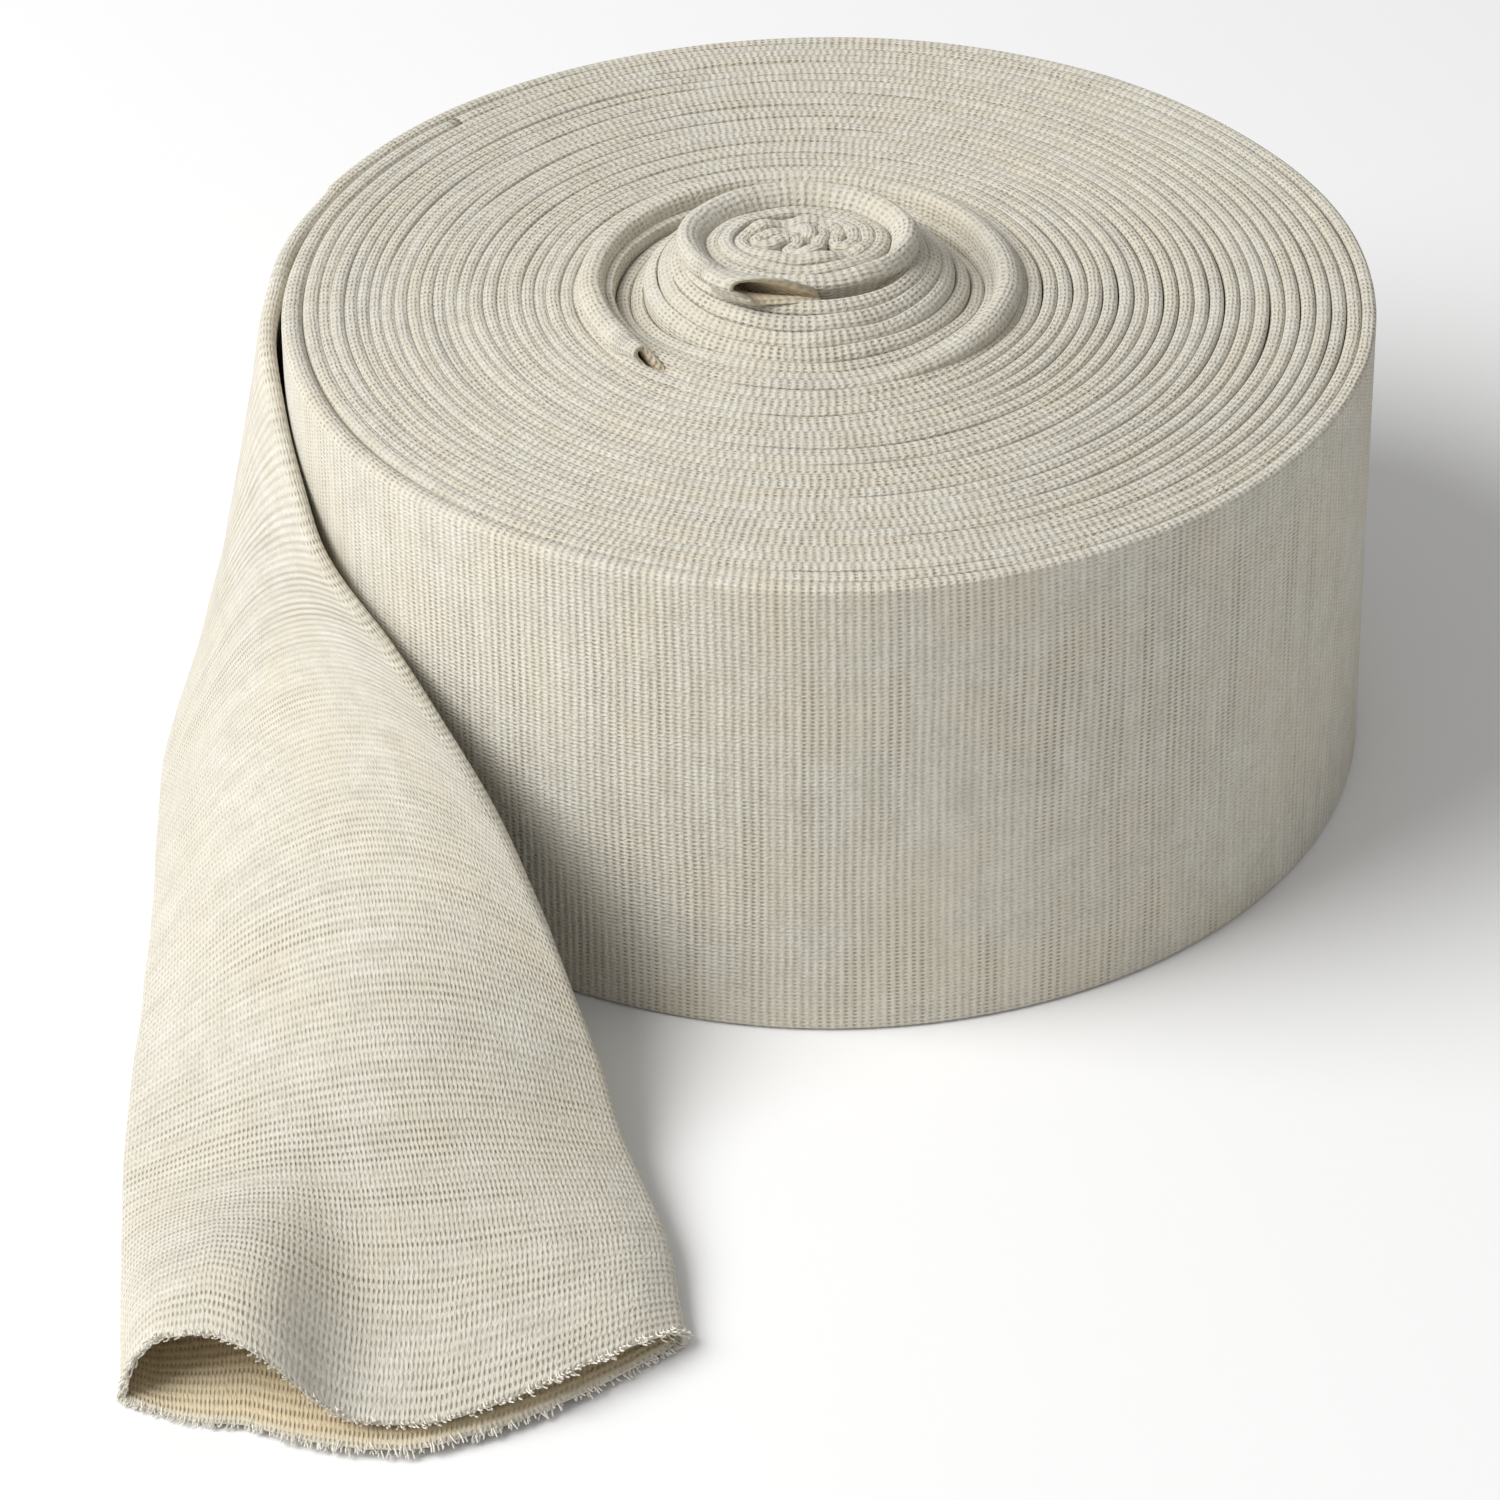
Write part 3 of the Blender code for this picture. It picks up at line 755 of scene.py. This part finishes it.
# The mouth, read across the tape: the upper ply's bulge as a share of MOUTH_RISE, and how far
# each ply is cut back.
MOUTH_BULGE = ((0.00, 0.00), (0.05, 0.50), (0.10, 0.78), (0.16, 0.94), (0.23, 1.00), (0.29, 0.98),
               (0.34, 0.78), (0.39, 0.34), (0.44, 0.10), (0.50, 0.04), (0.60, 0.03), (0.80, 0.15),
               (0.93, 0.20), (1.00, 0.00))
LOWER_PLY_CUT = ((0.00, 0.0), (0.12, 0.0030), (0.26, 0.0062), (0.40, 0.0045), (0.55, 0.0020), (1.00, 0.0))
UPPER_PLY_CUT = ((0.00, 0.0), (0.10, 0.0070), (0.22, 0.0105), (0.34, 0.0085), (0.45, 0.0062),
                 (0.60, 0.0038), (0.85, 0.0026), (1.00, 0.0))
RIPPLE = 0.0007           # soft dents in the free end
EDGE_RIPPLE = 0.0005
EDGE_BAND = 0.010         # width of the tape along its upper edge that sways
TAIL_FOLD_ROUND = 0.0016
TAIL_STEP = 0.0014
LAST_TURN_STEP = 0.0028
LINING_DEPTH = 0.060
MOUTH_LIP_ROUND = 0.0008


def tail_place(row_place):
    """A table place as a point: round the roll, out from its wall, and up."""
    around, out, height = row_place
    direction = ROLL_END + TAIL_LENGTH * around / LAST_TURN_RADIUS
    flare = FOOT_FLARE * (1 - height) * (1 - eased(out / 0.1))
    reach = LAST_TURN_RADIUS + TAIL_LENGTH * out + flare
    return Vector((reach * math.cos(direction), reach * math.sin(direction), TAPE_WIDTH * height))


def line_point(points, place):
    """A point on the smooth curve through a list of points, one apart."""
    here = min(int(place), len(points) - 2)
    share = place - here
    first, second = points[here], points[here + 1]
    before = points[here - 1] if here > 0 else 2 * first - second
    after = points[here + 2] if here + 2 < len(points) else 2 * second - first
    return 0.5 * (2 * first + (second - before) * share
                  + (2 * before - 5 * first + 4 * second - after) * share ** 2
                  + (3 * first - before - 3 * second + after) * share ** 3)


TAIL_LINES = [[tail_place(row[edge]) for row in TAIL_ROWS] for edge in range(3)]


def across_tail(lines, across):
    """A point on the curve through the lower edge, the middle and the upper edge."""
    lower, middle, upper = lines
    return (lower * (1 - across) * (1 - 2 * across) + middle * 4 * across * (1 - across)
            + upper * across * (2 * across - 1))


def tail_ring(places, place, wall):
    """One section of the free end, of its outer side, or of its inside if it has a wall."""
    step = 0.02
    here = [line_point(line, place) for line in TAIL_LINES]
    ahead = [line_point(line, min(place + step, LAST_ROW)) for line in TAIL_LINES]
    behind = [line_point(line, max(place - step, 0)) for line in TAIL_LINES]
    from_mouth = (LAST_ROW - place) * TAIL_LENGTH / LAST_ROW
    opening = eased(1 - from_mouth / MOUTH_DEPTH)
    cutting = eased(1 - from_mouth / (0.8 * MOUTH_DEPTH))
    half = turn_half(LAST_ANGLE) + (TAIL_HALF - turn_half(LAST_ANGLE)) * eased(place / 4)
    free = eased(place / 1.5)
    upper_ply, lower_ply = [], []
    for spot in places:
        spot = wall + spot * (TAPE_WIDTH - 2 * wall) / TAPE_WIDTH
        across = spot / TAPE_WIDTH
        centre = across_tail(here, across)
        along = across_tail(ahead, across) - across_tail(behind, across)
        over = across_tail(here, min(across + step, 1)) - across_tail(here, max(across - step, 0))
        outwards = along.cross(over).normalized()
        along.normalize()
        dent = RIPPLE * noise.noise(centre * 32.0) + 0.4 * RIPPLE * noise.noise(centre * 85.0)
        near_edge = eased(1 - (TAPE_WIDTH - spot) / EDGE_BAND)
        sway = EDGE_RIPPLE * near_edge * noise.noise(Vector((from_mouth * 90.0, 4.2, 1.7)))
        centre = centre + (outwards * dent + over.normalized() * sway) * free
        fold = roundness(spot - wall, TAIL_FOLD_ROUND)
        fold *= roundness(TAPE_WIDTH - spot - wall, TAIL_FOLD_ROUND)
        thickness = max(half - wall, 0.00010) * fold
        bulge = MOUTH_RISE * opening * between(MOUTH_BULGE, across)
        upper_cut = along * cutting * between(UPPER_PLY_CUT, across)
        lower_cut = along * cutting * between(LOWER_PLY_CUT, across)
        upper_ply.append(centre + outwards * (thickness + bulge) - upper_cut)
        lower_ply.append(centre - outwards * thickness - lower_cut)
    ring = upper_ply + lower_ply[-2:0:-1]
    for point in ring:
        point.z = max(point.z, wall * 0.8)
    return ring


# The mouth's rim was cut and has frayed into short loose ends of cotton yarn, which the knit's
# curl turns outwards. They are all one piece, a little whiter than the cloth.
YARN_RADIUS = 0.00014
YARN_ENDS = 900           # loose ends of cut yarn round the mouth
YARN_END_LENGTH = 0.0020
YARN_PIECES = 3
YARN_CURL = 0.75          # how far each piece turns outwards


def frayed_mouth(rim, before, inner_rim):
    """Short loose ends of yarn that curl outwards round the mouth's cut rim."""
    chance = random.Random(7)
    mesh = bmesh.new()
    for _ in range(YARN_ENDS):
        here = chance.randrange(len(rim))
        share = chance.random()
        following = (here + 1) % len(rim)
        start = rim[here].lerp(rim[following], share)
        along = (rim[here] - before[here]).normalized()
        outwards = (rim[here] - inner_rim[here]).normalized()
        sideways = along.cross(outwards)
        start = start - outwards * PLY_WALL * chance.random()
        start.z = max(start.z, 2 * YARN_RADIUS)
        heading = along + sideways * chance.uniform(-0.6, 0.6)
        length = YARN_END_LENGTH * chance.uniform(0.5, 1.0) / YARN_PIECES
        for piece in range(YARN_PIECES):
            end = start + heading.normalized() * length
            end.z = max(end.z, 2 * YARN_RADIUS)
            turn = (end - start).to_track_quat("Z", "Y").to_matrix().to_4x4()
            bmesh.ops.create_cone(mesh, cap_ends=True, segments=4, radius1=YARN_RADIUS,
                                  radius2=YARN_RADIUS * 0.8, depth=(end - start).length,
                                  matrix=Matrix.Translation((start + end) / 2) @ turn)
            heading += (outwards * YARN_CURL + sideways * chance.uniform(-0.5, 0.5)) * (piece + 1) / 2
            start = end
    data = bpy.data.meshes.new("frayed_mouth")
    mesh.to_mesh(data)
    mesh.free()
    yarn = bpy.data.materials.new("loose yarn")
    yarn.use_nodes = True
    shader = yarn.node_tree.nodes["Principled BSDF"]
    shader.inputs["Base Color"].default_value = (0.80, 0.765, 0.68, 1.0)
    shader.inputs["Roughness"].default_value = 0.9
    data.materials.append(yarn)
    piece = bpy.data.objects.new("frayed_mouth", data)
    bpy.context.scene.collection.objects.link(piece)
    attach(piece, "root")
    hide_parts("free_tail")
    return piece


def last_turn_and_free_end():
    places = ply_places(FINE_FOLD_STEPS, 24)
    angles = winding_angles(INNER_TURNS_END, LAST_ANGLE, LAST_TURN_STEP)
    rings, lengths = wound_rings(places, angles, plain_section)
    lengths = [inner_length + length for length in lengths]
    turn_length = lengths[-1]
    steps = int(TAIL_LENGTH / TAIL_STEP)
    for index in range(1, steps + 1):
        rings.append(tail_ring(places, LAST_ROW * index / steps, 0.0))
        lengths.append(turn_length + TAIL_LENGTH * index / steps)
    mouth = lengths[-1]
    inside = []
    lining_steps = int(LINING_DEPTH / TAIL_STEP)
    for index in range(lining_steps + 1):
        inside.append(tail_ring(places, LAST_ROW * (1 - index / steps), PLY_WALL))
    edge = lip(rings[-1], inside[0], rings[-2], MOUTH_LIP_ROUND)
    lengths += [mouth + LIP_STEP * step for step in range(1, LIP_STEPS)]
    lengths += [mouth + LIP_STEP * LIP_STEPS + TAIL_STEP * index for index in range(lining_steps + 1)]
    piece = tube_mesh("last_turn_and_free_end", rings + edge + inside, lengths,
                      knit("free end's knit", 0.85, mouth + 0.0012))
    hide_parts("free_tail", "outer_coil")
    fringe = frayed_mouth(rings[-1], rings[-2], inside[0])


last_turn_and_free_end()
